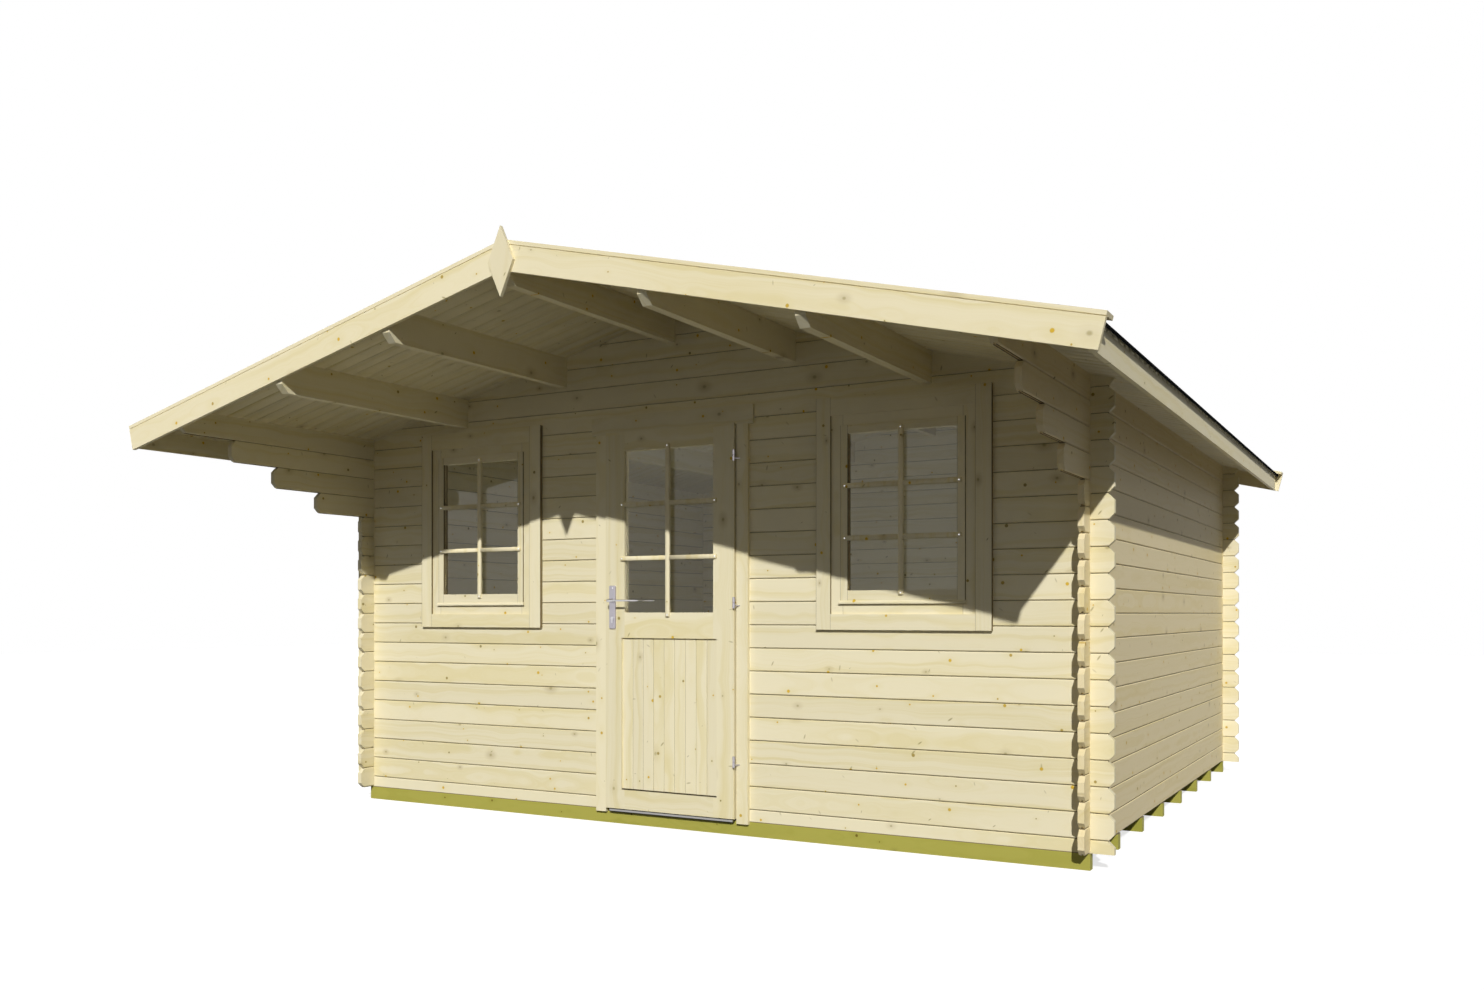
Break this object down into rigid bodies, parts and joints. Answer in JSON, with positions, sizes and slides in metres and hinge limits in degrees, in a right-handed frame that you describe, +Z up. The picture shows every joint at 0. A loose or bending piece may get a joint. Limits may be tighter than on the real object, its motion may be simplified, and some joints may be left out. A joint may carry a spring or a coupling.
{
  "type": "log cabin",
  "caption": "Garden log cabin with notched corners, a low gable roof, a deep front canopy on stepped bracket logs, a glazed door that opens and casement windows.",
  "frame": {"origin": "on the ground, under the middle of the whole building's box", "axes": "+Z up, -Y towards the front with the door and canopy, +X to the right seen from the front"},
  "size_m": [4.9924, 5.289, 2.7272],
  "materials": {
    "spruce_logs": "planed, untreated",
    "planed_spruce": "planed, untreated",
    "boarding": "sawn, untreated",
    "treated_timber": "pressure treated",
    "felt": "mineral faced",
    "glass": "clear",
    "handle_metal": "satin",
    "hinge_steel": "zinc plated"
  },
  "bodies": {
    "cabin": {"front_wall_odd_logs": "spruce_logs", "front_wall_even_logs": "spruce_logs", "back_wall_odd_logs": "spruce_logs", "back_wall_even_logs": "spruce_logs", "left_wall_odd_logs": "spruce_logs", "left_wall_even_logs": "spruce_logs", "right_wall_odd_logs": "spruce_logs", "right_wall_even_logs": "spruce_logs", "ridge_purlin": "planed_spruce", "left_purlins": "planed_spruce", "right_purlins": "planed_spruce", "left_bargeboards": "planed_spruce", "right_bargeboards": "planed_spruce", "left_verge_covers": "planed_spruce", "right_verge_covers": "planed_spruce", "left_eave_fascia": "planed_spruce", "right_eave_fascia": "planed_spruce", "gable_finials": "planed_spruce", "window_casing_sides": "planed_spruce", "window_casing_heads_and_sills": "planed_spruce", "window_frame_sides": "planed_spruce", "window_frame_heads_and_sills": "planed_spruce", "window_sash_stiles": "planed_spruce", "window_sash_rails": "planed_spruce", "door_casing_sides": "planed_spruce", "door_casing_head": "planed_spruce", "door_frame_jambs": "planed_spruce", "door_frame_head": "planed_spruce", "left_roof_boards": "boarding", "right_roof_boards": "boarding", "floor": "boarding", "left_roof_felt": "felt", "right_roof_felt": "felt", "foundation_beams": "treated_timber", "window_panes": "glass", "door_threshold": "handle_metal", "frame_hinge_knuckles": "hinge_steel"},
    "door": {"door_stiles": "planed_spruce", "door_rails": "planed_spruce", "door_panel": "planed_spruce", "door_glass": "glass", "door_hinge_knuckles": "hinge_steel", "door_handle_plates": "handle_metal", "door_lock_cylinder": "handle_metal"},
    "lever": {"door_lever": "handle_metal"}
  },
  "joints": [
    {"name": "door_hinge", "type": "hinge", "parent": "cabin", "child": "door", "pos_m": [0.3915, -1.3565, 1], "axis": [0, 0, 1], "range_deg": [0, 120]},
    {"name": "lever_turn", "type": "hinge", "parent": "door", "child": "lever", "pos_m": [-0.341, -1.3485, 1.169], "axis": [0, 1, 0], "range_deg": [0, 45], "stiffness_Nm_per_rad": 1, "springref_deg": -34.38}
  ]
}
